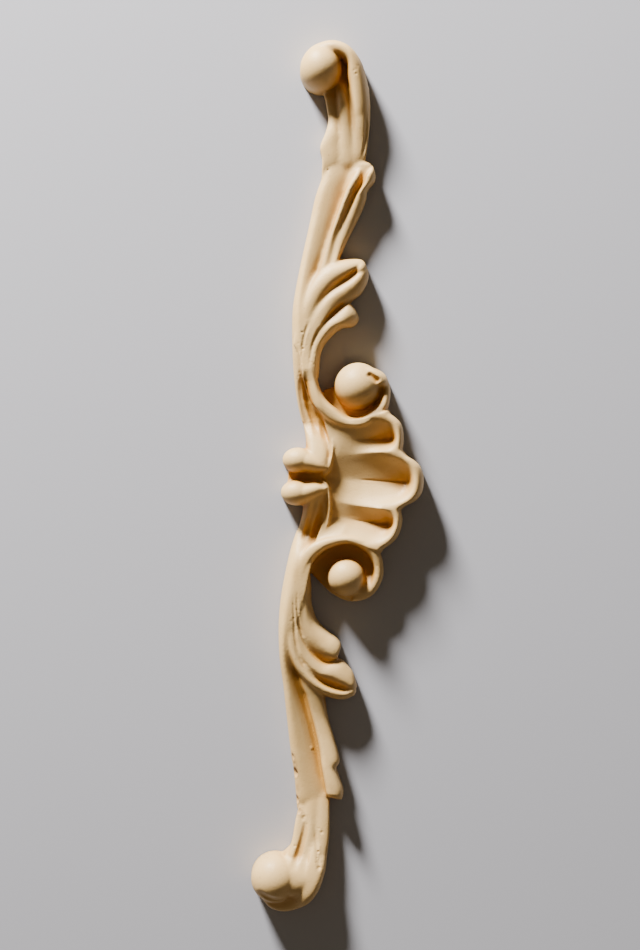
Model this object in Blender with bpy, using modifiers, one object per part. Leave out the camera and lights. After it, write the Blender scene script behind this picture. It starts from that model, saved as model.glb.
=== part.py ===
"""A cast resin ornament for the front of a frame or a piece of furniture: a small shell
between two volutes, and from each volute a stem with a leaf, a tail and a scrolled end.
It lies on its flat back. +Y runs along the ornament, +X to the shell's tip, +Z out of the
back. The origin is on the back, under the groove between the two buds.
"""

import math

import bmesh
import bpy
from mathutils import Vector

# Driving dimensions, in metres
LENGTH = 0.215
RELIEF = 0.0095
EDGE_WALL = 0.0022

# The ornament is set out on a drawing 866 units long. u runs to the shell's tip, and v
# from the middle to an end. Heights are shares of RELIEF. Each form starts below the back,
# SUNK deep, and the ground block then cuts the back flat.
UNIT = LENGTH / 866.0
EDGE = EDGE_WALL / RELIEF
SUNK = 0.3
GROUND_DEPTH = 2.0 * SUNK * RELIEF
GRAIN = LENGTH / 360.0
TRIANGLES_KEPT = 0.12

# The upper half was carved a little differently. Each pull is the drawing's u and v at its
# middle, its reach in u and in v, and how far it moves u and v there.
UPPER_PULLS = (
    (-30.0, 250.0, 90.0, 95.0, -7.0, 0.0),
    (-58.0, 150.0, 30.0, 80.0, -2.0, 0.0),
    (20.0, 203.0, 34.0, 40.0, -7.0, 2.0),
    (0.0, 175.0, 12.0, 10.0, -4.0, 0.0),
    (-24.0, 118.0, 16.0, 34.0, -3.0, 0.0),
    (0.0, 156.0, 34.0, 16.0, 0.5, -3.5),
    (14.0, 118.0, 62.0, 36.0, -1.0, -8.0),
    (-20.0, 102.0, 14.0, 16.0, 3.0, -5.0),
    (46.0, 92.0, 20.0, 30.0, -2.5, -2.0),
    (0.0, 58.0, 45.0, 12.0, 0.0, -5.0),
    (-34.0, 326.0, 18.0, 32.0, -10.0, 0.0),
    (0.0, 364.0, 30.0, 64.0, 4.0, 0.0),
    (10.0, 304.0, 20.0, 30.0, -0.5, -5.5),
    (-54.0, 382.0, 26.0, 24.0, 4.0, 9.0),
    (-30.0, 425.0, 50.0, 30.0, 3.0, 3.5),
)


def smoothed(values, place):
    """The value at place, 0 to 1, of a smooth run through evenly spaced values."""
    last = len(values) - 1
    place = min(max(place, 0.0), 1.0) * last
    start = min(int(place), last - 1)
    part = place - start
    before = values[max(start - 1, 0)]
    first = values[start]
    second = values[start + 1]
    after = values[min(start + 2, last)]
    slope_in = (second - before) * 0.5
    slope_out = (after - first) * 0.5
    return (
        first * (2 * part**3 - 3 * part**2 + 1)
        + slope_in * (part**3 - 2 * part**2 + part)
        + second * (3 * part**2 - 2 * part**3)
        + slope_out * (part**3 - part**2)
    )


def even_line(points, count=120):
    """Evenly spaced points on a smooth line through the given ones."""
    dense = [smoothed([Vector(point) for point in points], i / 400) for i in range(401)]
    run = [0.0]
    for before, after in zip(dense, dense[1:]):
        run.append(run[-1] + (after - before).length)
    line = []
    at = 0
    for i in range(count + 1):
        wanted = run[-1] * i / count
        while at < len(run) - 2 and run[at + 1] < wanted:
            at += 1
        span = max(run[at + 1] - run[at], 1e-9)
        line.append(dense[at].lerp(dense[at + 1], (wanted - run[at]) / span))
    return line


def on_line(line, place):
    """The point at place, 0 to 1, of an evenly spaced line."""
    place = min(max(place, 0.0), 1.0) * (len(line) - 1)
    start = min(int(place), len(line) - 2)
    return line[start].lerp(line[start + 1], place - start)


def pulled(u, v, pulls):
    """A place of the drawing after the pulls have moved it."""
    move_u = 0.0
    move_v = 0.0
    for mid_u, mid_v, reach_u, reach_v, pull_u, pull_v in pulls:
        away = ((u - mid_u) / reach_u) ** 2 + ((v - mid_v) / reach_v) ** 2
        weight = max(1.0 - away, 0.0) ** 2
        move_u += pull_u * weight
        move_v += pull_v * weight
    return u + move_u, v + move_v


def crown(across, lean, fullness):
    """A section's height, 0 at both edges and 1 at the crest, which lean moves sideways."""
    side = 1.0 + lean if across < lean else 1.0 - lean
    out = min(abs(across - lean) / side, 1.0)
    return (1.0 - out**fullness) ** (1.0 / fullness)


def patch(body, place, steps, across):
    """Adds a closed block whose top follows place(along, across) and whose foot is sunk."""
    grid = bmesh.ops.create_grid(body, x_segments=steps, y_segments=across, size=1.0)
    foot = grid["verts"]
    faces = list({face for vert in foot for face in vert.link_faces})
    made = bmesh.ops.extrude_face_region(body, geom=faces)
    top = [item for item in made["geom"] if isinstance(item, bmesh.types.BMVert)]
    for vert in foot:
        spot = place(vert.co.x * 0.5 + 0.5, vert.co.y)
        vert.co = (spot[0], spot[1], -SUNK * RELIEF)
    for vert in top:
        vert.co = place(vert.co.x * 0.5 + 0.5, vert.co.y)


class Half:
    """One half of the drawing, laid along +Y or -Y."""

    def __init__(self, body, side, pulls):
        self.body = body
        self.side = side
        self.pulls = pulls

    def spot(self, u, v, height):
        u, v = pulled(u, v, self.pulls)
        return Vector((u * UNIT, self.side * v * UNIT, height * RELIEF))

    def band(self, left, right, crest, edge=(EDGE, EDGE), lean=(0.0, 0.0), fullness=2.0, steps=48):
        """A carved band between two lines of the drawing, crest high along its middle."""
        rail_a = even_line(left)
        rail_b = even_line(right)

        def place(along, across):
            spot = on_line(rail_a, along).lerp(on_line(rail_b, along), across * 0.5 + 0.5)
            low = smoothed(edge, along)
            top = smoothed(crest, along)
            rise = crown(across, smoothed(lean, along), fullness)
            return self.spot(spot.x, spot.y, low + (top - low) * rise)

        patch(self.body, place, steps, 14)

    def ball(self, u, v, across, height, seat=0.0):
        """A round boss of the given half width, its top at the given height."""
        centre = self.spot(u, v, seat)
        made = bmesh.ops.create_uvsphere(self.body, u_segments=32, v_segments=20, radius=1.0)
        for vert in made["verts"]:
            flat = vert.co * across * UNIT
            rise = height - seat if vert.co.z > 0 else SUNK
            vert.co = centre + Vector((flat.x, flat.y, vert.co.z * rise * RELIEF))


def shell(body):
    """Three fluted lobes that fan out from the collar, with a raised scalloped rim."""
    lobe = even_line([(78.5, 0), (77.5, 8), (74, 15), (68, 20), (61.5, 23.5), (57, 28)])
    wing = even_line([(57, 28), (59, 36), (58.5, 45), (55, 55), (49, 62), (42.5, 67), (40, 71)])
    root = even_line([(-22, 0), (-19, 17), (-19, 36), (-26, 64)])

    def place(along, across):
        turn = abs(across) * 3.0
        side = -1.0 if across < 0 else 1.0
        start = on_line(root, turn / 3.0)
        end = on_line(lobe, turn) if turn < 1 else on_line(wing, (turn - 1.0) / 2.0)
        spot = start.lerp(end, along)
        v = side * spot.y
        u = spot.x
        if side > 0:
            u -= 3.0 * along * math.sin(min(max(turn - 1.0, 0.0) / 1.6, 1.0) * math.pi)
            v += 2.5 * along * math.sin(min(turn, 2.0) * math.pi / 2)
        swell = abs(math.sin(turn * math.pi / 2)) ** 0.7
        fan = math.sin(min(along * 1.3, 1.0) * math.pi / 2)
        flute = 0.24 + 0.1 * fan + (0.12 + 0.3 * fan) * swell
        lip = math.exp(-(((along - 0.91) / 0.07) ** 2))
        height = flute + (0.72 - flute) * lip
        over = max((along - 0.93) / 0.07, 0.0)
        height += (EDGE - height) * over**2.2
        return Vector((u * UNIT, v * UNIT, height * RELIEF))

    patch(body, place, 44, 120)


def collar(half):
    """A bud, the thin rim that bounds the shell's root, and the fluted hollow below the bud."""
    half.band(
        [(-63, 11), (-61, 5.5), (-50, 4), (-38, 3.5), (-27, 3), (-19, 8)],
        [(-63, 11), (-60, 17.5), (-54, 25), (-44, 28.5), (-32, 21), (-19, 14)],
        crest=(0.62, 0.8, 0.84, 0.78, 0.68),
    )
    half.band(
        [(-27, 2), (-21, 8), (-17.5, 18), (-16.5, 30), (-17.5, 42), (-20, 52), (-27, 62)],
        [(-21, 0), (-15, 7), (-12.5, 18), (-11.5, 30), (-12.5, 44), (-15, 54), (-20, 64)],
        crest=(0.66, 0.7, 0.7, 0.68, 0.66),
    )
    half.band(
        [(-41, 20), (-41, 36), (-45, 55), (-50, 72)],
        [(-16, 10), (-15, 30), (-18, 50), (-20, 66)],
        crest=(0.38, 0.36, 0.38, 0.56),
        fullness=3.0,
    )
    half.band([(-30, 18), (-36, 36), (-43, 58)], [(-26, 18), (-31, 38), (-38, 62)], crest=(0.6, 0.56, 0.62))
    half.band([(-23, 40), (-29, 52), (-36, 65)], [(-20, 42), (-25, 55), (-31, 68)], crest=(0.5, 0.54, 0.62))
    half.band([(-57, -3), (-20, -3)], [(-57, 8), (-20, 8)], crest=(0.36, 0.42))


def stem(half):
    """The main stem. It narrows beside the leaf and goes on as the tail's left strip."""
    half.band(
        [(-46, 57), (-51, 75), (-55, 98), (-58, 124), (-58.5, 150), (-56.5, 178)],
        [(-26, 60), (-29, 76), (-33, 92), (-32, 112), (-32, 134), (-40, 170)],
        crest=(0.66, 0.76, 0.78, 0.74, 0.66),
        fullness=2.4,
    )
    half.band(
        [(-58.5, 145), (-56, 180), (-50.5, 210), (-44, 250), (-38, 286), (-32.5, 312), (-30, 329)],
        [(-44, 145), (-44, 180), (-33, 212), (-18, 254), (-11, 288), (-4, 312), (-16, 329)],
        crest=(0.66, 0.6, 0.54, 0.48, 0.42, 0.38, 0.34),
        edge=(EDGE, 0.2, 0.18, 0.18, 0.18, 0.18, 0.18),
        lean=(-0.3, -0.45, -0.45, -0.4, -0.3, -0.1),
        fullness=1.5,
    )


def volute(half, ball_u, ball_v, ball_size, ball_top):
    """A scroll: a raised rim that turns round a ball, over a sunken floor."""
    half.band(
        [(-50, 124), (-46, 96), (-36, 72), (-20, 58), (0, 52.5), (18, 54), (32, 61), (40, 73),
         (43, 88), (41.5, 100), (35, 112), (25, 119)],
        [(-31, 124), (-33, 106), (-28, 87), (-18, 73.5), (-3, 65), (10, 64), (21, 69), (29, 78),
         (32.5, 88), (31, 97), (26, 104), (18, 108)],
        crest=(0.72, 0.76, 0.78, 0.76, 0.74, 0.72, 0.68, 0.6, 0.5),
        fullness=2.6,
        steps=72,
    )
    half.band(
        [(-32, 92), (-25, 100), (-19, 104.5), (-8, 114), (6, 121), (20, 121.5), (33, 114), (40, 104)],
        [(-22, 76), (-4, 68), (12, 68), (20, 74), (26, 84), (30, 90), (34, 94), (38, 97)],
        crest=(0.22, 0.24, 0.32, 0.4, 0.4),
        edge=(0.2, 0.2),
    )
    half.ball(14, 94, 25, 0.22)
    half.ball(ball_u, ball_v, ball_size, ball_top)


def leaf(half):
    """Three lobes with hollows between them, laid side by side from the stem outwards."""
    half.band(
        [(-44, 96), (-41, 122), (-38, 142), (-32, 152), (-24, 162), (-13, 170), (-3, 172.5), (2.5, 171)],
        [(-27, 106), (-27.5, 118), (-24, 134), (-17, 146), (-7, 153.5), (0, 158), (4.5, 165), (3.5, 170.5)],
        crest=(0.7, 0.74, 0.7, 0.66, 0.66, 0.62, 0.5),
        lean=(-0.2, -0.4),
    )
    half.band(
        [(-46, 122), (-43, 146), (-36, 164), (-27, 179), (-16, 190), (-2, 196.5), (10, 199), (20, 202)],
        [(-39, 122), (-36, 146), (-29, 162), (-19, 175), (-6, 181.5), (4, 179), (13, 187), (20, 198)],
        crest=(0.72, 0.72, 0.7, 0.68, 0.66, 0.54),
        lean=(-0.1, -0.25),
    )
    half.band(
        [(-56, 128), (-51, 152), (-47, 168), (-40, 184), (-29, 200), (-14, 212), (0, 218.5), (12, 219), (20.5, 213)],
        [(-45, 122), (-44, 150), (-38, 168), (-30, 184), (-18, 197), (-4, 205), (8, 207), (17, 205), (22.5, 208)],
        crest=(0.72, 0.72, 0.7, 0.68, 0.64, 0.52),
        lean=(-0.1, 0.0),
    )
    half.band(
        [(-46, 146), (-42, 172), (-31, 196), (-14, 211), (2, 216), (18, 212)],
        [(-34, 140), (-26, 154), (-14, 164), (-2, 174), (8, 184), (19, 200)],
        crest=(0.32, 0.34, 0.36, 0.36),
        edge=(0.22, 0.22),
        fullness=3.0,
    )


def tail(half):
    """The tail's raised right strip, which ends square over the neck."""
    half.band(
        [(-40, 186), (-33, 208), (-27, 226), (-20, 246), (-14.5, 268), (-8.5, 294), (-4, 312), (-1, 319)],
        [(-14, 196), (-9, 217), (-4, 238), (3, 258), (9.5, 279), (6.5, 287), (10, 297), (15, 310), (13, 320)],
        crest=(0.56, 0.58, 0.6, 0.6, 0.58, 0.56, 0.5),
        fullness=3.0,
    )


def neck(half):
    """Three strands side by side between the tail and the scrolled end."""
    strands = (
        ([(-28, 326), (-32, 345), (-33.5, 364), (-40, 380)], [(-22, 326), (-22, 345), (-24, 364), (-27, 382)]),
        ([(-24, 308), (-21, 345), (-23, 364), (-27, 384)], [(-8, 308), (-11, 345), (-9, 364), (-7, 384)]),
        ([(-10, 312), (-11, 345), (-9, 364), (-9, 386)], [(0, 312), (2.8, 345), (2.2, 364), (1, 386)]),
    )
    for left, right in strands:
        half.band(left, right, crest=(0.36, 0.44, 0.52, 0.66), steps=24)


def end_scroll(half, ball_u, ball_v, ball_size, ball_top):
    """The stem's end: a band that turns back round a large ball."""
    half.band(
        [(2.8, 352), (2, 372), (0.5, 390), (-5, 409), (-16, 424), (-34, 431.5), (-50, 430), (-61, 420), (-65, 413)],
        [(-14, 352), (-17, 372), (-20, 388), (-24, 402), (-32, 412), (-42, 416), (-50, 416), (-57, 413), (-62, 410)],
        crest=(0.5, 0.58, 0.66, 0.7, 0.66, 0.6, 0.5),
        steps=60,
    )
    half.band(
        [(-36, 372), (-50, 380), (-62, 390), (-66, 404), (-60, 414)],
        [(-12, 380), (-12, 392), (-16, 404), (-24, 414), (-40, 420)],
        crest=(0.4, 0.4, 0.4),
    )
    half.ball(ball_u, ball_v, ball_size, ball_top)


def build_body():
    body = bmesh.new()
    shell(body)
    lower = Half(body, -1, ())
    upper = Half(body, 1, UPPER_PULLS)
    for half in (lower, upper):
        collar(half)
        stem(half)
        leaf(half)
        tail(half)
        neck(half)
    volute(lower, 6, 97, 18.5, 0.88)
    volute(upper, 8, 97, 23, 0.92)
    end_scroll(lower, -46, 400.5, 26.5, 1.0)
    end_scroll(upper, -44, 408, 23, 0.98)
    bmesh.ops.recalc_face_normals(body, faces=body.faces)
    return body


def resin():
    material = bpy.data.materials.new("cast_resin")
    material.use_nodes = True
    shader = material.node_tree.nodes["Principled BSDF"]
    shader.inputs["Base Color"].default_value = (0.74, 0.64, 0.47, 1.0)
    shader.inputs["Roughness"].default_value = 0.5
    shader.inputs["Metallic"].default_value = 0.0
    return material


def collection(name):
    group = bpy.data.collections.new(name)
    bpy.context.scene.collection.children.link(group)
    return group


def made_object(name, body, group):
    mesh = bpy.data.meshes.new(name)
    body.to_mesh(mesh)
    body.free()
    made = bpy.data.objects.new(name, mesh)
    group.objects.link(made)
    return made


def ground_block(group):
    """What lies below the back: it cuts the casting off flat."""
    block = bmesh.new()
    bmesh.ops.create_cube(block, size=1.0)
    bmesh.ops.scale(block, vec=(LENGTH, LENGTH * 1.2, GROUND_DEPTH), verts=block.verts)
    bmesh.ops.translate(block, vec=(0.0, 0.0, -GROUND_DEPTH / 2), verts=block.verts)
    made = made_object("ground_block", block, group)
    made.hide_render = True
    made.display_type = "WIRE"
    return made


def frieze(group, cutters):
    made = made_object("frieze", build_body(), group)
    made.data.materials.append(resin())
    fused = made.modifiers.new("Fused", "REMESH")
    fused.mode = "VOXEL"
    fused.voxel_size = GRAIN
    softened = made.modifiers.new("Softened", "SMOOTH")
    softened.factor = 0.5
    softened.iterations = 3
    lighter = made.modifiers.new("Lighter", "DECIMATE")
    lighter.ratio = TRIANGLES_KEPT
    flat_back = made.modifiers.new("Flat_back", "BOOLEAN")
    flat_back.operation = "DIFFERENCE"
    flat_back.solver = "EXACT"
    flat_back.object = ground_block(cutters)
    return made


for leftover in list(bpy.data.objects):
    bpy.data.objects.remove(leftover, do_unlink=True)

frieze(collection("decorative_frieze"), collection("cutters"))
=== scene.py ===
import math
import random

import bmesh
import bpy
import numpy as np
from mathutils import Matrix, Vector
from mathutils.bvhtree import BVHTree


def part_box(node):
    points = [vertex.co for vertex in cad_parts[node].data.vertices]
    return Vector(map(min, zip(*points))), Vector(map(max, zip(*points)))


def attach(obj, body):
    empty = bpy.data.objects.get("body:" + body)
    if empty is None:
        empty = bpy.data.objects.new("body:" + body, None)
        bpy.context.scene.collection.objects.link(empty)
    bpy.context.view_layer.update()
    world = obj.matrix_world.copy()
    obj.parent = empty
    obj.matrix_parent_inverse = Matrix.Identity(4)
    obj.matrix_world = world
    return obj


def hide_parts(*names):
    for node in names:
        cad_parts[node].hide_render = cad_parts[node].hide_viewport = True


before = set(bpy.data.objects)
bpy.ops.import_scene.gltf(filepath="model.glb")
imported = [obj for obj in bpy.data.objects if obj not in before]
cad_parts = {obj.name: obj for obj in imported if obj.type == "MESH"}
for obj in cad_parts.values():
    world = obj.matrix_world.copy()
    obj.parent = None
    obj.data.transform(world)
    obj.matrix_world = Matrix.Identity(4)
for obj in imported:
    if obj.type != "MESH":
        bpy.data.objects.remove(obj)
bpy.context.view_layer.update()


# The view
# The ornament lies on its flat back and is seen from straight above, as in the photograph,
# a little to the left of its middle, with its upper end leaning three degrees to the right.

# One unit of the drawing is one pixel of the photograph, and relief is the height that all
# heights in the drawing are shares of, the highest ball's.
low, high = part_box("frieze")
drawn_length = 866.7
drawn_height = 0.99
unit = (high.y - low.y) / drawn_length
relief = high.z / drawn_height
eye_height = 0.42
long_side = 950 * unit
camera_turn = math.radians(3.0)

camera = bpy.data.cameras.new("camera")
camera.sensor_width = 36.0
camera.lens = camera.sensor_width * eye_height / long_side
viewer = bpy.data.objects.new("camera", camera)
viewer.location = (-25.2 * unit, 2.7 * unit, eye_height)
viewer.rotation_euler = (0.0, 0.0, camera_turn)
bpy.context.scene.collection.objects.link(viewer)
bpy.context.scene.camera = viewer


# The floor
# A plain pale sheet, just under the casting's back, which runs on past every view.
floor_reach = 4.0
floor_gap = 0.0002
floor_mesh = bmesh.new()
bmesh.ops.create_grid(floor_mesh, x_segments=1, y_segments=1, size=floor_reach)
bmesh.ops.translate(floor_mesh, vec=(0.0, 0.0, -floor_gap), verts=floor_mesh.verts)
floor_data = bpy.data.meshes.new("floor")
floor_mesh.to_mesh(floor_data)
floor_mesh.free()
floor = bpy.data.objects.new("floor", floor_data)
bpy.context.scene.collection.objects.link(floor)
floor_paint = bpy.data.materials.new("floor_paint")
floor_paint.use_nodes = True
floor_shader = floor_paint.node_tree.nodes["Principled BSDF"]
floor_shader.inputs["Base Color"].default_value = (0.43, 0.43, 0.47, 1.0)
floor_shader.inputs["Roughness"].default_value = 0.85
floor_data.materials.append(floor_paint)


# The light
# One soft lamp low beyond the upper end, as in the photograph, a weak warm one opposite it,
# and a dim warm room.
def lamp(name, place, size, power, colour):
    """A round lamp that faces the middle of the ornament."""
    light = bpy.data.lights.new(name, "AREA")
    light.shape = "DISK"
    light.size = size
    light.energy = power
    light.color = colour
    holder = bpy.data.objects.new(name, light)
    holder.location = place
    holder.rotation_euler = (-Vector(place)).to_track_quat("-Z", "Y").to_euler()
    bpy.context.scene.collection.objects.link(holder)


lamp("key_lamp", (-0.38, 0.71, 0.25), size=0.17, power=42.0, colour=(1.0, 0.98, 0.95))
lamp("fill_lamp", (0.35, -0.50, 0.60), size=0.60, power=0.15, colour=(1.0, 0.88, 0.72))

room = bpy.data.worlds.new("room")
room.use_nodes = True
room.node_tree.nodes["Background"].inputs["Color"].default_value = (1.0, 0.84, 0.63, 1.0)
room.node_tree.nodes["Background"].inputs["Strength"].default_value = 0.12
bpy.context.scene.world = room


# The shell
# Three fluted lobes fan out from the collar to a raised scalloped rim, cast in one with all
# the rest. The flutes are folded like a fan, faint at the root and deep at the tips, and the
# upper wing's is one slope down from the volute until its fold opens near the rim.

# u runs to the shell's tip and v from the middle to an end, in units of the drawing, and
# heights are shares of the highest ball. Every form is a closed block whose foot is sunk
# under the back, and they all go into one mesh.
casting = bmesh.new()
edge_height = 0.23
sunk = 0.3


def smoothed(values, place):
    """The value at place, 0 to 1, of a smooth run through evenly spaced values."""
    last = len(values) - 1
    if last == 0:
        return values[0]
    place = min(max(place, 0.0), 1.0) * last
    start = min(int(place), last - 1)
    part = place - start
    before = values[max(start - 1, 0)]
    first = values[start]
    second = values[start + 1]
    after = values[min(start + 2, last)]
    slope_in = (second - before) * 0.5
    slope_out = (after - first) * 0.5
    return (
        first * (2 * part**3 - 3 * part**2 + 1)
        + slope_in * (part**3 - 2 * part**2 + part)
        + second * (3 * part**2 - 2 * part**3)
        + slope_out * (part**3 - part**2)
    )


def even_line(points, count=160):
    """Evenly spaced points on a smooth line through the given ones."""
    stops = [Vector(point) for point in points]
    fine = 400
    dense = [smoothed(stops, i / fine) for i in range(fine + 1)]
    run = [0.0]
    for before, after in zip(dense, dense[1:]):
        run.append(run[-1] + (after - before).length)
    line = []
    at = 0
    for i in range(count + 1):
        wanted = run[-1] * i / count
        while at < len(run) - 2 and run[at + 1] < wanted:
            at += 1
        span = max(run[at + 1] - run[at], 1e-9)
        line.append(dense[at].lerp(dense[at + 1], (wanted - run[at]) / span))
    return line


def on_line(line, place):
    """The point at place, 0 to 1, of an evenly spaced line."""
    place = min(max(place, 0.0), 1.0) * (len(line) - 1)
    start = min(int(place), len(line) - 2)
    return line[start].lerp(line[start + 1], place - start)


def patch(place, steps, rows):
    """Adds a closed block whose top follows place(along, across) and whose foot is sunk.

    along goes from 0 to 1 in the given steps, and across from -1 to 1 in the given rows.
    """
    grid = bmesh.ops.create_grid(casting, x_segments=steps, y_segments=rows, size=1.0)
    foot = grid["verts"]
    faces = list({face for vert in foot for face in vert.link_faces})
    made = bmesh.ops.extrude_face_region(casting, geom=faces)
    top = [item for item in made["geom"] if isinstance(item, bmesh.types.BMVert)]
    tops = {}
    for vert in top:
        key = (round(vert.co.x, 5), round(vert.co.y, 5))
        tops[key] = Vector(place(vert.co.x * 0.5 + 0.5, vert.co.y))
        vert.co = tops[key]
    for vert in foot:
        above = tops[(round(vert.co.x, 5), round(vert.co.y, 5))]
        vert.co = (above.x, above.y, -sunk * relief)


lobe_edge = even_line([(78.5, 0), (77.5, 8), (74, 15), (68, 20), (61.5, 23.5), (57, 28)])
wing_edge = even_line([(57, 28), (59, 36), (58.5, 45), (55, 55), (49, 62), (42.5, 67), (40, 71)])
shell_root = even_line([(-22, 0), (-19, 17), (-18, 35), (-26, 62)])
root_shares = (0.0, 0.32, 0.57, 1.0)
flute_floor = 0.33
lip_height = 0.73
lip_crest = 0.91


def flute_height(along, turn, upper):
    """The height of the flutes along the shell, turn folds away from its middle valley.

    They rise to a ridge one fold out, and from the second valley, two folds out, to the
    volute.
    """
    fan = min(max((along - 0.1) / 0.62, 0.0), 1.0) ** 1.4
    lift = 0.15 * max(1.0 - along / 0.4, 0.0) ** 1.5
    ridge = 0.05 + 0.33 * fan
    rising = 0.08 + 0.32 * min(along / 0.3, 1.0)
    fold = 1.0
    if upper:
        ridge = 0.05 + 0.07 * min(along / 0.12, 1.0) + 0.25 * fan
        rising = max(rising, ridge + 0.02)
        fold = fan
    if turn < 1:
        flute = ridge * turn**1.1
    else:
        slope = ridge + (rising - ridge) * (turn - 1.0) * 0.5
        flute = slope - fold * (ridge + rising) * 0.5 * (1.0 - abs(turn - 2.0))
    return flute + flute_floor + lift


def shell_top(along, across):
    """A point of the shell, from root to rim and from the lower volute to the upper one."""
    turn = abs(across) * 3.0
    upper = across >= 0
    root = on_line(shell_root, float(np.interp(turn, (0.0, 1.0, 2.0, 3.0), root_shares)))
    if turn < 1:
        edge = on_line(lobe_edge, turn)
    else:
        edge = on_line(wing_edge, ((turn - 1.0) / 2.0) ** 1.8)
    spot = root.lerp(edge, along)
    bow = math.sin(math.pi * along)
    inward = 9.0 if upper else 6.5
    u = spot.x
    v = spot.y + 2.0 * bow * min(turn, 1.0) - inward * bow * max(turn - 2.0, 0.0) ** 1.5
    if upper:
        u -= 3.0 * along * math.sin(min(max(turn - 1.0, 0.0) / 1.6, 1.0) * math.pi)
        v += 2.5 * along * math.sin(min(turn, 2.0) * math.pi / 2)
    flute = flute_height(along, turn, upper)
    spread = 0.05 + 0.11 * math.sin(turn * math.pi / 2) ** 2
    lip = math.exp(-((min(along - lip_crest, 0.0) / spread) ** 2))
    height = flute + (lip_height - flute) * lip
    over = max((along - lip_crest) / (1.0 - lip_crest), 0.0)
    height = edge_height + (height - edge_height) * math.sqrt(max(1.0 - over**2.2, 0.0))
    return (u * unit, (v if upper else -v) * unit, height * relief)


patch(shell_top, 110, 300)


# The collar
# On each side of the middle groove a round bud stands out to the left, a thin rim bounds the
# shell's root, and a fluted hollow falls away under the bud.

# What the upper half shares with the lower one is laid out once and pulled to its own
# carving: each pull gives the u and v of its middle, its reach in u and v, and how far it
# moves u and v. What is drawn for the upper half alone needs no pulls.
upper_pulls = (
    (-30.0, 250.0, 90.0, 95.0, -7.0, 0.0),
    (-58.0, 150.0, 30.0, 80.0, -2.0, 0.0),
    (-24.0, 118.0, 16.0, 34.0, -3.0, 0.0),
    (14.0, 118.0, 62.0, 36.0, -1.0, -8.0),
    (-20.0, 102.0, 14.0, 16.0, 3.0, -5.0),
    (46.0, 92.0, 20.0, 30.0, -2.5, -2.0),
    (0.0, 58.0, 45.0, 12.0, 0.0, -5.0),
)
lower_half = (-1, ())
upper_half = (1, upper_pulls)
upper_plain = (1, ())


def crown(across, lean, fullness):
    """A section's height, 0 at both edges and 1 at the crest, which lean moves sideways."""
    side = 1.0 + lean if across < lean else 1.0 - lean
    out = min(abs(across - lean) / side, 1.0)
    return (1.0 - out**fullness) ** (1.0 / fullness)


def spot_on(half, u, v, height):
    """A point of the drawing on its half of the casting, in metres."""
    side, pulls = half
    move_u = 0.0
    move_v = 0.0
    for mid_u, mid_v, reach_u, reach_v, pull_u, pull_v in pulls:
        away = ((u - mid_u) / reach_u) ** 2 + ((v - mid_v) / reach_v) ** 2
        weight = max(1.0 - away, 0.0) ** 2
        move_u += pull_u * weight
        move_v += pull_v * weight
    return Vector(((u + move_u) * unit, side * (v + move_v) * unit, height * relief))


def band(
    half,
    left,
    right,
    crest,
    near=(edge_height,),
    far=(edge_height,),
    lean=(0.0,),
    full=(2.0, 2.0),
    ends=(0.0, 0.0),
    lap=(0.0, 0.0),
    steps=90,
):
    """A carved band between two lines of the drawing, with the heights of its crest.

    near and far are the heights of its left and right edges, lean is how far its crest lies
    from the middle, and full is how full its two sides are. ends are the shares of its
    length over which it rises from those edges at its start and sinks to them at its end.
    lap is how far each edge runs on under its neighbour.
    """
    rail_a = even_line(left)
    rail_b = even_line(right)

    def top(along, across):
        line_a = on_line(rail_a, along)
        line_b = on_line(rail_b, along)
        width = max((line_b - line_a).length, 1.0)
        share = across * 0.5 + 0.5
        share = share * (1.0 + (lap[0] + lap[1]) / width) - lap[0] / width
        spot = line_a.lerp(line_b, share)
        shift = smoothed(lean, along)
        foot = smoothed(near if across < shift else far, along)
        rise = crown(across, shift, full[0] if across < shift else full[1])
        if ends[0] > 0 and along < ends[0]:
            rise *= math.sqrt(1.0 - (1.0 - along / ends[0]) ** 2)
        if ends[1] > 0 and along > 1.0 - ends[1]:
            rise *= math.sqrt(1.0 - (1.0 - (1.0 - along) / ends[1]) ** 2)
        return spot_on(half, spot.x, spot.y, foot + (smoothed(crest, along) - foot) * rise)

    patch(top, steps, rows=24)


def boss(half, u, v, across_u, across_v, height, dome):
    """A round or oval boss of the given half widths and height, whose top dome is as given.

    Its side tapers a little, so that it leaves the mould.
    """
    centre = spot_on(half, u, v, 0.0)
    shoulder = (height - dome) * relief
    lump = bmesh.new()
    drum = bmesh.ops.create_cone(
        lump,
        cap_ends=True,
        segments=64,
        radius1=1.03,
        radius2=0.995,
        depth=shoulder + sunk * relief,
    )
    half_way = (shoulder - sunk * relief) * 0.5
    bmesh.ops.translate(lump, vec=(0.0, 0.0, half_way), verts=drum["verts"])
    cap = bmesh.ops.create_uvsphere(lump, u_segments=64, v_segments=40, radius=1.0)
    bmesh.ops.scale(lump, vec=(1.0, 1.0, dome * relief), verts=cap["verts"])
    bmesh.ops.translate(lump, vec=(0.0, 0.0, shoulder), verts=cap["verts"])
    bmesh.ops.scale(lump, vec=(across_u * unit, across_v * unit, 1.0), verts=lump.verts)
    bmesh.ops.translate(lump, vec=centre, verts=lump.verts)
    block = bpy.data.meshes.new("boss")
    lump.to_mesh(block)
    lump.free()
    casting.from_mesh(block)
    bpy.data.meshes.remove(block)


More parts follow.
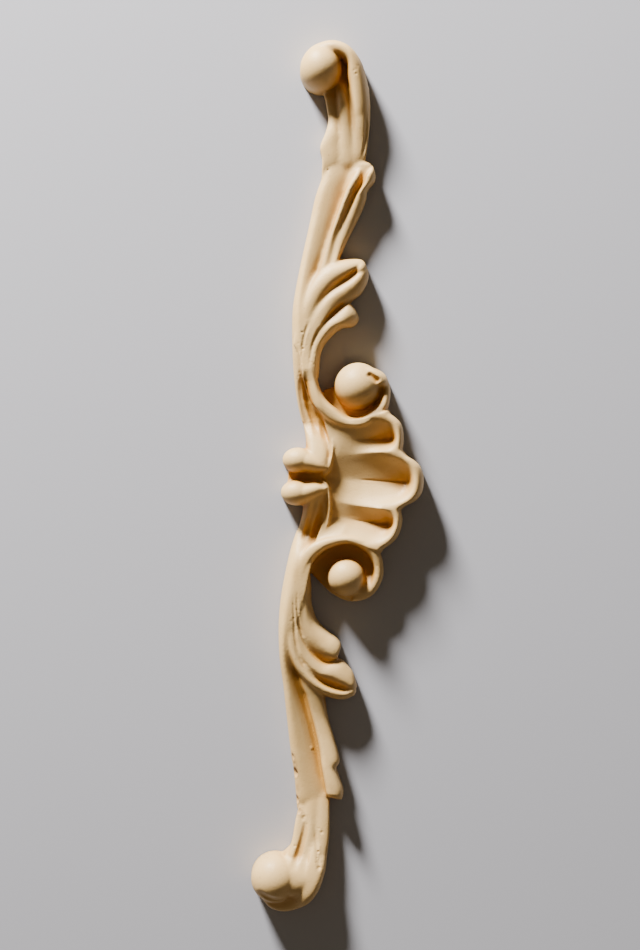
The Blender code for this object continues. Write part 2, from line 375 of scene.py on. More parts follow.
for half, slope in (
    (lower_half, (0.72, 0.62, 0.5, 0.38, 0.36, 0.46)),
    (upper_half, (0.76, 0.66, 0.52, 0.34, 0.38, 0.46)),
):
    boss(half, -47.5, 16.2, 15.5, 12.6, height=0.86, dome=0.36)
    band(
        half,
        [(-50, 5), (-38, 3.5), (-27, 3), (-18, 6)],
        [(-50, 27), (-42, 28), (-32, 24), (-19, 15)],
        crest=(0.8, 0.84, 0.8, 0.7),
        far=(0.3, 0.4, 0.6),
        full=(2.2, 2.0),
    )
    band(
        half,
        [(-27, 2), (-21, 8), (-17.5, 18), (-16.5, 30), (-17.5, 42), (-20, 52), (-27, 62)],
        [(-21, 0), (-15.5, 7), (-13, 18), (-12, 30), (-13, 44), (-15.5, 54), (-20, 64)],
        crest=(0.66, 0.66, 0.6, 0.55, 0.5),
        near=(0.4,),
        far=(0.44, 0.46, 0.44),
        ends=(0.1, 0.1),
    )
    band(
        half,
        [(-41, 18), (-41, 36), (-45, 55), (-50.5, 76)],
        [(-16, 10), (-15, 30), (-18, 50), (-22, 72)],
        crest=slope,
        full=(3.0, 3.0),
    )
    band(half, [(-57, -3), (-20, -3)], [(-57, 8), (-20, 8)], crest=(0.32, 0.38, 0.56))


# The stems
# A stem leaves each collar, widens round the volute and narrows again beside the leaf. From
# there it goes on as the tail's left strip, which slopes down into a long hollow and runs
# out over the neck.

# Each stem has its left and right lines, and the heights of its crest and right edge.
stem_rails = (
    (
        lower_half,
        [(-45.5, 54), (-50.5, 72), (-55, 98), (-58, 124), (-58.5, 150), (-56, 180), (-50.5, 210),
         (-44, 250), (-39.5, 276), (-36, 292), (-33, 312), (-30.5, 330)],
        [(-23, 58), (-27, 74), (-31, 92), (-34, 114), (-39, 134), (-42, 154), (-40, 180),
         (-29.5, 212), (-14.5, 254), (-7, 285), (-2, 310), (-9, 333)],
        (0.36, 0.72, 0.79, 0.79, 0.76, 0.69, 0.60, 0.54, 0.49, 0.45, 0.42, 0.39, 0.37),
        (0.3, 0.7, 0.76, 0.76, 0.72, 0.5, 0.22, 0.13, 0.12, 0.14, 0.2, 0.28, 0.3),
    ),
    (
        upper_plain,
        [(-45.5, 54), (-51, 72), (-56, 98), (-59, 124), (-61, 158), (-60, 178), (-56, 208),
         (-49, 250), (-44.5, 278), (-38.5, 300), (-38, 316), (-40.5, 328), (-37, 342)],
        [(-23, 58), (-28, 74), (-33, 92), (-36, 112), (-40, 134), (-44, 154), (-41, 182),
         (-30, 214), (-20, 254), (-12, 286), (-4, 306), (-5, 326), (-12, 344)],
        (0.36, 0.46, 0.61, 0.75, 0.76, 0.69, 0.60, 0.54, 0.49, 0.45, 0.42, 0.39, 0.37),
        (0.3, 0.42, 0.56, 0.7, 0.72, 0.52, 0.28, 0.24, 0.22, 0.23, 0.25, 0.28, 0.3),
    ),
)
for half, left, right, heights, right_edge in stem_rails:
    band(
        half,
        left,
        right,
        crest=heights,
        near=(0.23, 0.23, 0.2, 0.2),
        far=right_edge,
        lean=(-0.1, -0.1, -0.1, -0.1, -0.15, -0.35, -0.5, -0.55, -0.55, -0.5, -0.45, -0.3, -0.1),
        full=(2.2, 1.45),
        ends=(0.0, 0.06),
        lap=(0.0, 1.0),
        steps=220,
    )


# The volutes
# Each is a raised rim that turns back round a ball over a sunken floor. The lower ball is
# small and stands free of its rim, and the upper one is large and runs out to the edge.
for half in (lower_half, upper_half):
    band(
        half,
        [(-50, 124), (-46, 96), (-37, 73), (-21, 60), (0, 54.5), (18, 56), (31, 62.5), (39.5, 73),
         (43, 88), (41.5, 100), (35, 112), (25, 119), (12, 121.5)],
        [(-31, 124), (-33, 106), (-29, 88), (-19, 74.5), (-4, 66), (9, 64.5), (21, 69.5),
         (28.5, 78), (32, 88), (30.5, 97), (26, 104), (20, 109), (14, 113)],
        crest=(0.74, 0.78, 0.78, 0.76, 0.74, 0.72, 0.68, 0.6, 0.52, 0.46),
        near=(0.76, 0.76, 0.66, 0.4, 0.23, 0.23, 0.23, 0.23),
        full=(2.4, 2.4),
        steps=150,
    )
    bay_side = [(-33, 91), (-25.5, 98.5), (-19, 104.5), (-8, 114)]
    if half is upper_half:
        bay_side = [(-25, 88), (-20, 92), (-14.5, 102), (-6.5, 114)]
    band(
        half,
        bay_side + [(6, 120.5), (20, 120.5), (33, 113), (40, 100)],
        [(-28, 78), (-8, 63), (12, 60), (26, 66), (34, 76), (37, 86), (38, 92), (39, 98)],
        crest=(0.22, 0.24, 0.26, 0.3, 0.4),
        near=(0.18,),
        far=(0.22, 0.24, 0.3),
        full=(3.0, 3.0),
    )
    band(
        half,
        [(22, 90), (22.5, 100), (16, 110), (2, 114)],
        [(35, 87), (39, 99), (31.5, 113), (12, 120.5)],
        crest=(0.22, 0.38, 0.5, 0.52, 0.46, 0.34),
        near=(0.22, 0.34, 0.42, 0.4),
        far=(0.22, 0.34, 0.36, 0.24, 0.2),
        full=(3.0, 2.2),
    )
boss(lower_half, 6, 97, 18.5, 18.5, height=0.88, dome=0.49)
boss(upper_plain, 8, 92.5, 23.5, 23.5, height=0.92, dome=0.6)
band(
    upper_plain,
    [(24, 87), (25.5, 97), (20, 107), (8, 113)],
    [(37, 86), (39, 95), (33.5, 105), (16, 115)],
    crest=(0.34, 0.7, 0.77, 0.76, 0.68, 0.46),
    near=(0.3, 0.68, 0.75, 0.6),
    full=(3.0, 2.0),
    ends=(0.3, 0.2),
    lap=(4.0, 0.0),
)


# The leaves
# Three overlapping lobes lie side by side over each stem. The hollows between them start as
# fine lines on the stem and open out to the leaf's edge.

# Each leaf has the line of its bay, its two splits, its outer line and its middle lobe's tip.
leaf_rails = (
    (
        lower_half,
        [(-30.5, 94), (-28, 107), (-27.5, 118), (-26, 128), (-20, 142), (-8, 153), (0, 158.5),
         (4.6, 165), (3.5, 171), (1, 175)],
        [(-42, 90), (-42, 108), (-41, 124), (-39, 145), (-35, 159), (-29, 169.5), (-20, 179),
         (-10, 184), (0, 181), (2, 176.5)],
        [(-47, 120), (-44, 148), (-41.5, 163), (-36, 178), (-28, 189), (-18, 198), (-6, 205),
         (8, 208.5), (19.5, 207)],
        [(-53, 128), (-51, 155), (-47, 175), (-39, 193), (-27, 207), (-14, 214.5), (0, 218.5),
         (10, 219), (17, 216), (21, 210)],
        [(1, 172), (1.2, 176), (6, 181), (12, 186), (17, 192), (20, 199), (22, 206)],
    ),
    (
        upper_plain,
        [(-33, 92), (-31.5, 104), (-31.5, 115), (-29, 129), (-21, 141), (-11, 149.5), (0, 152),
         (5.3, 159), (2, 168), (-4.5, 174.5)],
        [(-43, 90), (-43, 106), (-42, 122), (-38.5, 138), (-32, 151), (-25, 162), (-16, 171),
         (-9, 175), (-6, 176), (-5, 175.5)],
        [(-51, 118), (-48.5, 137), (-44, 151), (-38.5, 165), (-30, 178.5), (-20, 189.5),
         (-8, 199.5), (3, 208), (9, 211)],
        [(-58, 130), (-56, 158), (-51, 182), (-42, 200), (-30, 212), (-17, 217), (-6, 218.8),
         (4, 219), (8.5, 216.5)],
        [(-6, 172), (-5, 176), (-1, 180), (4, 184), (8, 190), (11, 197), (12, 204), (11, 210)],
    ),
)
for half, bay, split_a, split_b, outer, tip in leaf_rails:
    band(
        half,
        split_a,
        bay,
        crest=(0.74, 0.75, 0.73, 0.7, 0.68, 0.64, 0.5),
        near=(0.74, 0.74, 0.72, 0.6, 0.38, 0.26),
        far=(0.25, 0.22),
        lean=(0.1, 0.0, 0.0, 0.0),
        full=(1.35, 2.0),
        lap=(1.2, 0.0),
        ends=(0.0, 0.06),
        steps=120,
    )
    band(
        half,
        split_b,
        split_a[:-1] + tip[2:],
        crest=(0.74, 0.75, 0.74, 0.71, 0.68, 0.62, 0.5),
        near=(0.74, 0.73, 0.66, 0.5, 0.33, 0.24),
        far=(0.74, 0.74, 0.72, 0.6, 0.38, 0.26),
        lean=(0.0, -0.1, -0.1),
        full=(1.4, 1.7),
        lap=(1.5, 1.0),
        ends=(0.0, 0.06),
        steps=120,
    )
    band(
        half,
        outer,
        split_b,
        crest=(0.72, 0.74, 0.74, 0.72, 0.68, 0.62, 0.48),
        near=(0.7, 0.6, 0.42, 0.34, 0.26, 0.2),
        far=(0.72, 0.72, 0.65, 0.49, 0.34, 0.3),
        lean=(0.0, 0.1, 0.2),
        full=(1.9, 2.0),
        lap=(0.0, 0.8),
        ends=(0.0, 0.06),
        steps=120,
    )
    band(
        half,
        [(-50, 130), (-46, 165), (-38, 190), (-24, 206), (-8, 213), (7, 216)],
        [(-34, 130), (-28, 150), (-14, 162), (-5, 173), (3, 187), (11, 203)],
        crest=(0.42, 0.38, 0.36, 0.36, 0.36),
        full=(4.0, 4.0),
    )
boss(lower_half, 16.5, 209.5, 5.6, 6.2, height=0.5, dome=0.24)
boss(upper_plain, 4.5, 208.5, 6.0, 8.5, height=0.56, dome=0.26)


# The tails
# A raised strip runs out from under each leaf, dips, and rises again to a square end over
# the neck. The lower one is flat-topped, and the upper one is split by a groove.
band(
    lower_half,
    [(-41, 182), (-34, 206), (-29.5, 216), (-24, 233), (-18, 251), (-13.5, 267), (-9.5, 286),
     (-5.5, 303), (-2.5, 316)],
    [(-16, 190), (-9, 216), (-4.5, 238), (2.5, 258), (9.3, 279), (6.5, 287.5), (9.5, 296),
     (14.5, 309), (13.5, 319)],
    crest=(0.66, 0.60, 0.53, 0.47, 0.47, 0.51, 0.56, 0.6, 0.6),
    near=(0.4, 0.2, 0.14, 0.14, 0.2),
    far=(0.25, 0.22),
    lean=(-0.2, -0.2),
    full=(2.6, 2.6),
    ends=(0.0, 0.045),
    steps=140,
)
band(
    upper_plain,
    [(-30, 190), (-26, 212), (-21.5, 238), (-15, 255), (-9, 270), (-4, 282), (1.5, 292), (5, 303)],
    [(-19, 196), (-16.5, 218), (-11.5, 234), (-4.5, 250), (2.5, 266.5), (6.5, 279), (7.5, 288),
     (14.7, 300), (11, 313.5)],
    crest=(0.62, 0.54, 0.47, 0.44, 0.45, 0.49, 0.54, 0.56),
    near=(0.5, 0.4, 0.28, 0.28),
    far=(0.25, 0.22),
    lean=(0.0, -0.2, -0.2),
    full=(2.0, 2.2),
    lap=(0.8, 0.0),
    ends=(0.0, 0.06),
    steps=140,
)
band(
    upper_plain,
    [(-40, 190), (-34, 212), (-27.5, 238), (-22, 258), (-17, 275), (-12.5, 290), (-7, 302),
     (-1, 311)],
    [(-30, 190), (-26, 212), (-21.5, 238), (-15, 255), (-9, 270), (-4, 282), (1.5, 292), (5, 303)],
    crest=(0.6, 0.55, 0.51, 0.49, 0.51, 0.54, 0.56, 0.52),
    near=(0.5, 0.4, 0.34),
    far=(0.5, 0.4, 0.28, 0.28),
    lean=(0.0, -0.3, -0.4, -0.2),
    full=(1.8, 1.4),
    lap=(1.5, 0.8),
    ends=(0.0, 0.1),
    steps=140,
)
band(
    upper_plain,
    [(-24, 284), (-14, 304), (-3, 319)],
    [(6, 288), (13, 300), (9, 315)],
    crest=(0.36, 0.42, 0.42),
    full=(2.5, 2.5),
    ends=(0.0, 0.2),
)


# The necks and scrolled ends
# Three strands run side by side under the tail to the end, where the outer one turns back
# round a large ball.
band(
    lower_half,
    [(-26.5, 312), (-28.5, 334), (-32.5, 350), (-33.5, 364), (-37, 378)],
    [(0.8, 300), (2, 330), (3, 350), (2.4, 366), (0.8, 392)],
    crest=(0.33, 0.36, 0.41, 0.48, 0.56),
    near=(0.2,),
    far=(0.2,),
    full=(3.0, 3.0),
    ends=(0.05, 0.1),
)
lower_strands = (
    ([(-26, 322), (-30, 342), (-32.5, 362), (-37, 380)], [(-19, 322), (-20.5, 345), (-24, 366), (-28, 386)]),
    ([(-22, 304), (-20.5, 345), (-24, 366), (-28, 388)], [(-8, 304), (-11, 345), (-10, 366), (-9, 392)]),
    ([(-9, 304), (-11, 345), (-10, 366), (-10, 392)], [(0.5, 306), (2.2, 345), (2.0, 364), (-2, 394)]),
)
for left, right in lower_strands:
    band(
        lower_half,
        left,
        right,
        crest=(0.32, 0.38, 0.43, 0.48, 0.54, 0.66),
        near=(0.28, 0.34, 0.38, 0.42, 0.5),
        far=(0.28, 0.34, 0.38, 0.42, 0.5),
        lap=(1.5, 0.0),
        ends=(0.15, 0.25),
        steps=80,
    )
band(
    lower_half,
    [(2.6, 356), (1.8, 374), (0.5, 391), (-5, 409), (-16, 423), (-34, 431.5), (-50, 430),
     (-61, 420), (-66.5, 411)],
    [(-13, 356), (-16, 374), (-20, 390), (-25, 402), (-31, 411), (-41, 417), (-51, 417),
     (-59, 413), (-64, 408)],
    crest=(0.48, 0.58, 0.7, 0.78, 0.77, 0.54, 0.46, 0.45, 0.45),
    near=(0.22,),
    far=(0.44, 0.6, 0.74, 0.56, 0.34, 0.36),
    lean=(0.0, 0.0, 0.0, -0.1),
    full=(3.2, 2.0),
    ends=(0.3, 0.05),
    steps=110,
)
band(
    lower_half,
    [(-34, 366), (-44, 376), (-56, 382), (-62, 398), (-60, 414)],
    [(-8, 372), (-10, 386), (-14, 400), (-24, 412), (-40, 418)],
    crest=(0.5, 0.68, 0.84, 0.8, 0.5),
    near=(0.3,),
    far=(0.4, 0.66, 0.72, 0.6, 0.44),
    full=(2.4, 2.0),
    ends=(0.3, 0.0),
)
boss(lower_half, -48.8, 398.5, 23.7, 23.7, height=1.0, dome=0.6)

upper_strands = (
    ([(-37.5, 296), (-38, 316), (-40.5, 328), (-36, 343), (-34, 356), (-37, 372), (-41, 388)],
     [(-22, 296), (-22, 316), (-22, 330), (-23, 345), (-25, 358), (-27, 372), (-30, 392)],
     (0.3, 0.42, 0.46, 0.46, 0.38, 0.32, 0.28)),
    ([(-24, 296), (-23, 330), (-24, 352), (-26.5, 372), (-29.5, 396)],
     [(-8, 296), (-8, 330), (-11, 352), (-13.5, 370), (-19, 396)],
     (0.3, 0.42, 0.46, 0.5, 0.52, 0.5, 0.4)),
    ([(-12, 296), (-10, 330), (-11, 350), (-13.5, 370), (-18, 390)],
     [(2.5, 306), (4.5, 328), (6, 350), (5.5, 366), (3.5, 390)],
     (0.3, 0.42, 0.48, 0.56, 0.64, 0.7)),
)
for left, right, heights in upper_strands:
    band(
        upper_plain,
        left,
        right,
        crest=heights,
        near=(0.3, 0.38, 0.34, 0.28, 0.24),
        far=(0.3, 0.38, 0.34, 0.28, 0.24),
        lap=(1.5, 0.0),
        ends=(0.18, 0.08),
        steps=100,
    )
band(
    upper_plain,
    [(3.5, 326), (6, 350), (5, 378), (-1, 404), (-8, 418.5), (-20, 430), (-36, 434), (-52, 429),
     (-61, 421), (-65.8, 411)],
    [(-8, 326), (-11, 350), (-15, 378), (-18.5, 397), (-20, 409), (-28, 416), (-38, 416),
     (-48, 414), (-56, 411), (-63, 406)],
    crest=(0.4, 0.52, 0.64, 0.74, 0.8, 0.8, 0.72, 0.6),
    near=(0.22,),
    far=(0.34, 0.3, 0.3, 0.5, 0.6),
    full=(2.0, 2.4),
    ends=(0.3, 0.05),
    steps=140,
)
band(
    upper_plain,
    [(-38, 378), (-46, 386), (-58, 395), (-62, 406), (-58, 417)],
    [(-13, 378), (-14, 396), (-16, 408), (-26, 419), (-40, 424)],
    crest=(0.26, 0.28, 0.3, 0.4),
    near=(0.2,),
    far=(0.24,),
    full=(4.0, 4.0),
)
boss(upper_plain, -45.3, 404.5, 20.7, 22.6, height=0.99, dome=0.58)


# The skin
# The mould gave all of this one unbroken skin over a flat back. The forms are fused and
# softened here, then the furrows, pits, lumps and breaks of this one casting are put in, and
# the back is cut flat.
carved_above = 0.0008
bmesh.ops.recalc_face_normals(casting, faces=casting.faces)
rough_mesh = bpy.data.meshes.new("rough_casting")
casting.to_mesh(rough_mesh)
casting.free()
rough = bpy.data.objects.new("rough_casting", rough_mesh)
bpy.context.scene.collection.objects.link(rough)
fused = rough.modifiers.new("Fused", "REMESH")
fused.mode = "VOXEL"
fused.voxel_size = 0.00021
softened = rough.modifiers.new("Softened", "SMOOTH")
softened.factor = 0.5
softened.iterations = 11
skin_mesh = bpy.data.meshes.new_from_object(rough.evaluated_get(bpy.context.evaluated_depsgraph_get()))
bpy.data.objects.remove(rough)

points = np.empty(len(skin_mesh.vertices) * 3)
skin_mesh.vertices.foreach_get("co", points)
points = points.reshape(-1, 3)
upward = np.empty(len(skin_mesh.vertices) * 3)
skin_mesh.vertex_normals.foreach_get("vector", upward)
upward = upward.reshape(-1, 3)[:, 2]
plan = points[:, :2].copy()


def joins_of(mesh):
    """The two points of each edge, and how many edges meet at each point."""
    pairs = np.empty(len(mesh.edges) * 2, dtype=int)
    mesh.edges.foreach_get("vertices", pairs)
    return pairs.reshape(-1, 2), np.bincount(pairs, minlength=len(mesh.vertices))


def averaged(values, joins):
    """The mean of the values at the points that each point is joined to."""
    pairs, meeting = joins
    around = np.bincount(pairs[:, 0], weights=values[pairs[:, 1]], minlength=len(values))
    around += np.bincount(pairs[:, 1], weights=values[pairs[:, 0]], minlength=len(values))
    return around / np.maximum(meeting, 1)


# The seams between neighbouring bands are filled up to soft creases.
skin_joins = joins_of(skin_mesh)
seam_passes = 26
for i in range(seam_passes):
    lift = averaged(points[:, 2], skin_joins) - points[:, 2]
    low_spots = (lift > 0.0) & (upward > 0.05) & (points[:, 2] > carved_above)
    points[low_spots, 2] += 0.6 * lift[low_spots]

run_steps = 60


def run_of(half, line):
    """A line of the drawing as evenly spaced points of the casting, in metres."""
    return np.array([spot_on(half, at.x, at.y, 0.0)[:2] for at in even_line(line, run_steps)])


def stroke(half, line, width, depth):
    """Carves a groove along the line, whose width and depth may change along it.

    Both ends fade out over a fifth of its length.
    """
    run = run_of(half, line)
    reach = max(width) * unit
    low_x, low_y = run.min(axis=0) - reach
    high_x, high_y = run.max(axis=0) + reach
    near_by = np.flatnonzero(
        (plan[:, 0] > low_x) & (plan[:, 0] < high_x) & (plan[:, 1] > low_y) & (plan[:, 1] < high_y)
        & (upward > 0.1) & (points[:, 2] > carved_above)
    )
    here = plan[near_by]
    best = np.full(len(near_by), 1.0)
    place = np.zeros(len(near_by))
    for i in range(run_steps):
        step = run[i + 1] - run[i]
        share = np.clip(((here - run[i]) @ step) / max(step @ step, 1e-12), 0.0, 1.0)
        away = np.hypot(*(here - run[i] - share[:, None] * step).T)
        closer = away < best
        best[closer] = away[closer]
        place[closer] = (i + share[closer]) / run_steps
    wide = np.interp(place, np.linspace(0.0, 1.0, len(width)), width) * unit
    deep = np.interp(place, np.linspace(0.0, 1.0, len(depth)), depth) * relief
    fading = np.clip(np.minimum(place, 1.0 - place) / 0.2, 0.0, 1.0)
    share = np.clip(1.0 - (best / wide) ** 2, 0.0, 1.0) ** 2
    points[near_by, 2] -= deep * share * fading


def dent(half, u, v, across, depth):
    """A round pit of the given half width, or a lump where the depth is below zero."""
    x, y = spot_on(half, u, v, 0.0)[:2]
    away = np.hypot(plan[:, 0] - x, plan[:, 1] - y) / (across * unit)
    near_by = np.flatnonzero((away < 1.0) & (upward > 0.1) & (points[:, 2] > carved_above))
    points[near_by, 2] -= depth * relief * (1.0 - away[near_by] ** 2) ** 1.5


def chip(half, u, v, across, height):
    """Breaks a bite out of the edge: points inside the ball are pushed out to its skin."""
    centre = np.array(spot_on(half, u, v, height))
    offset = points - centre
    away = np.linalg.norm(offset, axis=1)
    inside = np.flatnonzero(away < across * unit)
    points[inside] = centre + offset[inside] * (across * unit / away[inside, None])


# The shell's sharp valley lines, then the furrows of the collars, stems, leaves and ends.
# Each furrow has its half, its line, and its widths and depths along it.
for half, across in ((lower_half, -2 / 3), (lower_half, 0.0), (upper_plain, 2 / 3)):
    valley = [shell_top(0.28 + 0.06 * i, across) for i in range(11)]
    valley = [(x / unit, abs(y) / unit) for x, y, z in valley]
    stroke(half, valley, (1.6, 3.2), (0.0, 0.05))
for half, run, width, depth in (
    (lower_half, [(-37, 22), (-40, 38), (-43.5, 58)], (4.5, 4.5), (0.03, 0.06)),
    (lower_half, [(-29, 20), (-32.5, 38), (-38, 64)], (4.5, 4.5), (0.04, 0.07)),
    (lower_half, [(-21, 20), (-23.5, 38), (-29, 60)], (4.0, 4.0), (0.05, 0.08)),
    (upper_plain, [(-33, 46), (-38, 64), (-43, 84), (-46, 106)], (12.0, 11.0), (0.07, 0.11, 0.07)),
    (upper_plain, [(-37, 38), (-42, 56), (-48, 76), (-51.5, 98)], (4.5, 4.0), (0.03, 0.05, 0.03)),
    (upper_plain, [(-29, 38), (-34, 56), (-41.5, 76), (-45, 104)], (5.0, 4.0), (0.03, 0.07, 0.04)),
    (upper_plain, [(-21, 36), (-25, 50), (-33, 68)], (4.5, 4.0), (0.03, 0.06, 0.03)),
    (upper_plain, [(28.5, 97), (22, 101), (15.5, 105)], (4.2, 4.2), (0.07, 0.06)),
    (lower_half, [(-42, 112), (-40.5, 130), (-38, 146), (-33, 158)], (1.8, 2.8), (0.008, 0.03)),
    (lower_half, [(-45.5, 116), (-43.5, 136), (-41, 158), (-36, 174)], (1.8, 2.8), (0.008, 0.03)),
    (upper_plain, [(-42, 106), (-39, 130), (-33, 148)], (2.0, 2.8), (0.008, 0.025)),
    (upper_plain, [(-50, 112), (-48, 136), (-43.5, 154)], (2.0, 2.8), (0.008, 0.025)),
    (
        lower_half,
        [(-19, 334), (-22.5, 354), (-26.5, 370), (-31.5, 388)],
        (3.6, 4.6, 5.6),
        (0.015, 0.035, 0.06),
    ),
    (
        lower_half,
        [(-63, 409), (-54, 414.5), (-44, 416.5), (-31, 412)],
        (3.5, 4.5, 3.5),
        (0.05, 0.1, 0.05),
    ),
    (lower_half, [(-11.5, 344), (-9.5, 362), (-6, 388)], (2.6, 3.4), (0.01, 0.03)),
    (upper_plain, [(0, 318), (2.5, 340), (1.5, 362)], (2.4, 2.4), (0.03, 0.03)),
):
    stroke(half, run, width, depth)

# Pits and a lump that came out of the mould with it: each has its half, u and v, its half
# width and its depth.
for half, u, v, across, depth in (
    (lower_half, -24, 338, 3.4, 0.018),
    (lower_half, -22.5, 336, 2.0, 0.012),
    (lower_half, -5, 350.5, 2.2, 0.018),
    (lower_half, -31, 365, 1.6, 0.02),
    (lower_half, -7.5, 369, 1.6, 0.025),
    (lower_half, -6, 384, 2.6, 0.022),
    (lower_half, -62, 410, 4.4, 0.015),
    (lower_half, -19, 268, 2.4, -0.012),
    (upper_plain, -33, 305, 1.3, 0.02),
    (upper_plain, -48, 126, 1.4, 0.02),
    (upper_plain, -50, 142, 1.6, 0.02),
):
    dent(half, u, v, across, depth)

# Groups of pin holes: each has its half, its reach in u and in v, and how many holes it has.
chance = random.Random(7)
for half, u_low, u_high, v_low, v_high, count in (
    (lower_half, -46, -36, 122, 152, 16),
    (lower_half, -10, 1, 370, 390, 8),
    (lower_half, -28, -6, 335, 350, 6),
    (lower_half, 33, 39, 80, 110, 6),
    (lower_half, 54, 70, 8, 22, 6),
    (upper_plain, -56, -36, 88, 140, 26),
    (upper_plain, -13, -8, 388, 408, 9),
    (upper_plain, -1, 4, 330, 362, 6),
):
    for i in range(count):
        u = chance.uniform(u_low, u_high)
        v = chance.uniform(v_low, v_high)
        dent(half, u, v, chance.uniform(0.8, 1.4), chance.uniform(0.003, 0.010))

# The breaks along the lower stem's thin edge: each has its u and v, half width and height.
breaks = (
    (-43.0, 279, 7.0, 0.40),
    (-40.5, 286, 7.0, 0.46),
    (-38.0, 294, 6.5, 0.34),
    (-37.0, 302, 4.5, 0.10),
    (-36.5, 309, 6.0, 0.40),
    (-34.5, 321, 5.5, 0.26),
    (-31.5, 330, 6.5, 0.46),
)
for u, v, across, height in breaks:
    chip(lower_half, u, v, across, height)

skin_mesh.vertices.foreach_set("co", points.ravel())
skin_mesh.update()

# The flat back.
skin = bmesh.new()
skin.from_mesh(skin_mesh)
cut = bmesh.ops.bisect_plane(
    skin,
    geom=skin.verts[:] + skin.edges[:] + skin.faces[:],
    dist=0.00002,
    plane_co=(0.0, 0.0, 0.0),
    plane_no=(0.0, 0.0, 1.0),
    clear_inner=True,
)
rim = [item for item in cut["geom_cut"] if isinstance(item, bmesh.types.BMEdge)]
for edge in rim:
    for vert in edge.verts:
        vert.co.z = 0.0
bmesh.ops.edgenet_fill(skin, edges=rim)
skin.to_mesh(skin_mesh)
skin.free()

# Fewer triangles, where the form is smooth enough to need few.
full_skin = bpy.data.objects.new("full_skin", skin_mesh)
bpy.context.scene.collection.objects.link(full_skin)
lighter = full_skin.modifiers.new("Lighter", "DECIMATE")
lighter.ratio = 0.42
cast_mesh = bpy.data.meshes.new_from_object(full_skin.evaluated_get(bpy.context.evaluated_depsgraph_get()))
bpy.data.objects.remove(full_skin)
cast_mesh.name = "cast_frieze"
frieze = bpy.data.objects.new("cast_frieze", cast_mesh)
bpy.context.scene.collection.objects.link(frieze)
cast_mesh.shade_smooth()
for face in cast_mesh.polygons:
    if face.normal.z < -0.99:
        face.use_smooth = False

# How shut in each point is, which paints shade into the colour of the hollows: how many of the
# rays from it meet the casting again, and how near, evened out between neighbours. The back has none of it.
tree = BVHTree.FromPolygons([v.co for v in cast_mesh.vertices], [p.vertices for p in cast_mesh.polygons])
ray_length = 0.007
ray_start = 0.00012
rays = []
for ring, count in ((0.35, 5), (0.75, 7)):
    tilt = ring * math.pi / 2
    flat = math.sin(tilt)
    for i in range(count):
        turn = 2 * math.pi * (i + ring) / count
        rays.append(Vector((flat * math.cos(turn), flat * math.sin(turn), math.cos(tilt))))
painted_shade = []
for vert in cast_mesh.vertices:
    met = 0.0
    if vert.normal.z > -0.2:
        twist = vert.normal.to_track_quat("Z", "Y")
        start = vert.co + vert.normal * ray_start
        for ray in rays:
            distance = tree.ray_cast(start, twist @ ray, ray_length)[3]
            if distance is not None:
                met += 1.0 - distance / ray_length
    painted_shade.append(met / len(rays))
painted_shade = np.array(painted_shade)
cast_joins = joins_of(cast_mesh)
evening_passes = 4
for i in range(evening_passes):
    painted_shade = 0.4 * painted_shade + 0.6 * averaged(painted_shade, cast_joins)
painted_shade[np.array([vert.co.z for vert in cast_mesh.vertices]) < 0.00002] = 0.0
cast_mesh.attributes.new("shade_in_hollows", "FLOAT", "POINT").data.foreach_set("value", painted_shade)

# How near to a break each point is.
bites = [(spot_on(lower_half, u, v, height), across * unit) for u, v, across, height in breaks]
torn = []
for vert in cast_mesh.vertices:
    nearest = min((vert.co - centre).length / across for centre, across in bites)
    torn.append(min(max((1.35 - nearest) / 0.35, 0.0), 1.0))
cast_mesh.attributes.new("broken", "FLOAT", "POINT").data.foreach_set("value", torn)


# The resin
# Cream casting resin, straight from the mould and unpainted: matt to satin, cloudy, with painted
# orange brown shade in the hollows, tan where it is broken, with the fine grain and small dark specks of a
# cast surface.
resin = bpy.data.materials.new("cream_resin")
resin.use_nodes = True
nodes = resin.node_tree.nodes
links = resin.node_tree.links
shader = nodes["Principled BSDF"]
shader.inputs["Specular IOR Level"].default_value = 0.4
place = nodes.new("ShaderNodeTexCoord")


def noise(scale, detail, rough):
    """A noise texture on the casting's own coordinates."""
    texture = nodes.new("ShaderNodeTexNoise")
    texture.inputs["Scale"].default_value = scale
    texture.inputs["Detail"].default_value = detail
    texture.inputs["Roughness"].default_value = rough
    links.new(place.outputs["Object"], texture.inputs["Vector"])
    return texture.outputs["Fac"]


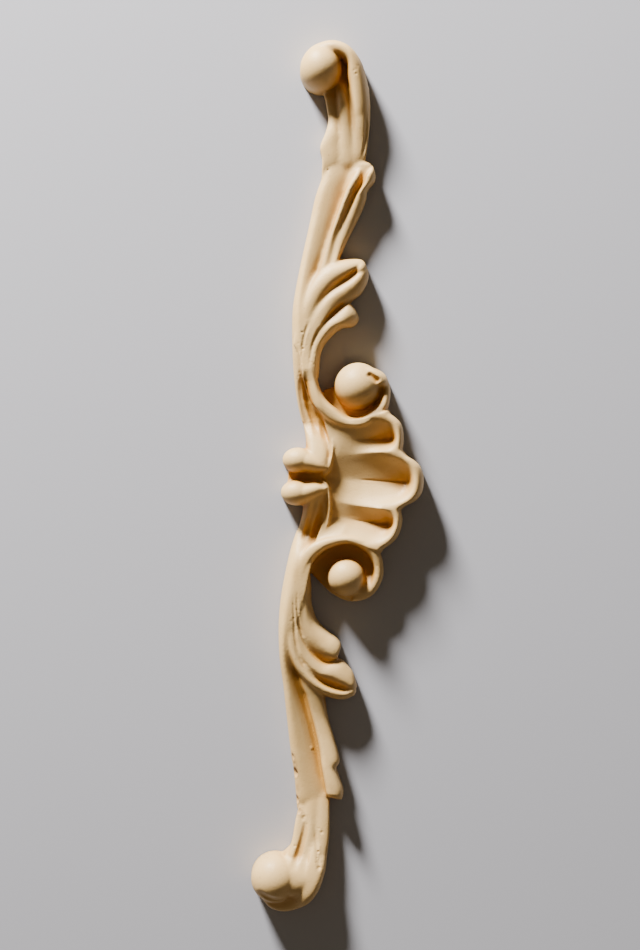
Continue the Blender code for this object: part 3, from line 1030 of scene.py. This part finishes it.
def ranged(value, low_in, high_in, low_out, high_out):
    """The value stretched from one range to another, and held inside it."""
    stretch = nodes.new("ShaderNodeMapRange")
    stretch.inputs["From Min"].default_value = low_in
    stretch.inputs["From Max"].default_value = high_in
    stretch.inputs["To Min"].default_value = low_out
    stretch.inputs["To Max"].default_value = high_out
    links.new(value, stretch.inputs["Value"])
    return stretch.outputs["Result"]


def sum_of(first, second):
    """The sum of two values."""
    step = nodes.new("ShaderNodeMath")
    links.new(first, step.inputs[0])
    links.new(second, step.inputs[1])
    return step.outputs["Value"]


def mixed(share, first, second):
    """A colour that goes from the first to the second as the share goes from 0 to 1."""
    mix = nodes.new("ShaderNodeMix")
    mix.data_type = "RGBA"
    links.new(share, mix.inputs["Factor"])
    for colour, socket in ((first, mix.inputs[6]), (second, mix.inputs[7])):
        if isinstance(colour, tuple):
            socket.default_value = (*colour, 1.0)
        else:
            links.new(colour, socket)
    return mix.outputs[2]


def marked(name):
    """A value that the mesh carries at its points."""
    mark = nodes.new("ShaderNodeAttribute")
    mark.attribute_name = name
    return mark.outputs["Fac"]


mottle = noise(160.0, 4.0, 0.6)
grain = noise(2400.0, 3.0, 0.6)
specks = noise(1500.0, 2.0, 0.5)
body = mixed(ranged(mottle, 0.35, 0.65, 0.0, 1.0), (0.65, 0.415, 0.155), (0.70, 0.465, 0.19))
# Painted shade: the colour turns orange brown where the rays find the casting shut in, stirred a little by
# the mottle.
mottled_painted_shade = sum_of(marked("shade_in_hollows"), ranged(mottle, 0.3, 0.7, -0.05, 0.05))
body = mixed(ranged(mottled_painted_shade, 0.03, 0.27, 0.0, 1.0), body, (0.48, 0.235, 0.04))
body = mixed(ranged(marked("broken"), 0.0, 1.0, 0.0, 0.75), body, (0.45, 0.27, 0.10))
body = mixed(ranged(specks, 0.66, 0.76, 0.0, 0.55), body, (0.42, 0.24, 0.09))
links.new(body, shader.inputs["Base Color"])
links.new(ranged(grain, 0.3, 0.7, 0.42, 0.6), shader.inputs["Roughness"])
bump = nodes.new("ShaderNodeBump")
bump.inputs["Strength"].default_value = 0.4
bump.inputs["Distance"].default_value = 0.00012
links.new(grain, bump.inputs["Height"])
links.new(bump.outputs["Normal"], shader.inputs["Normal"])
cast_mesh.materials.append(resin)

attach(frieze, "root")
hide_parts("frieze")
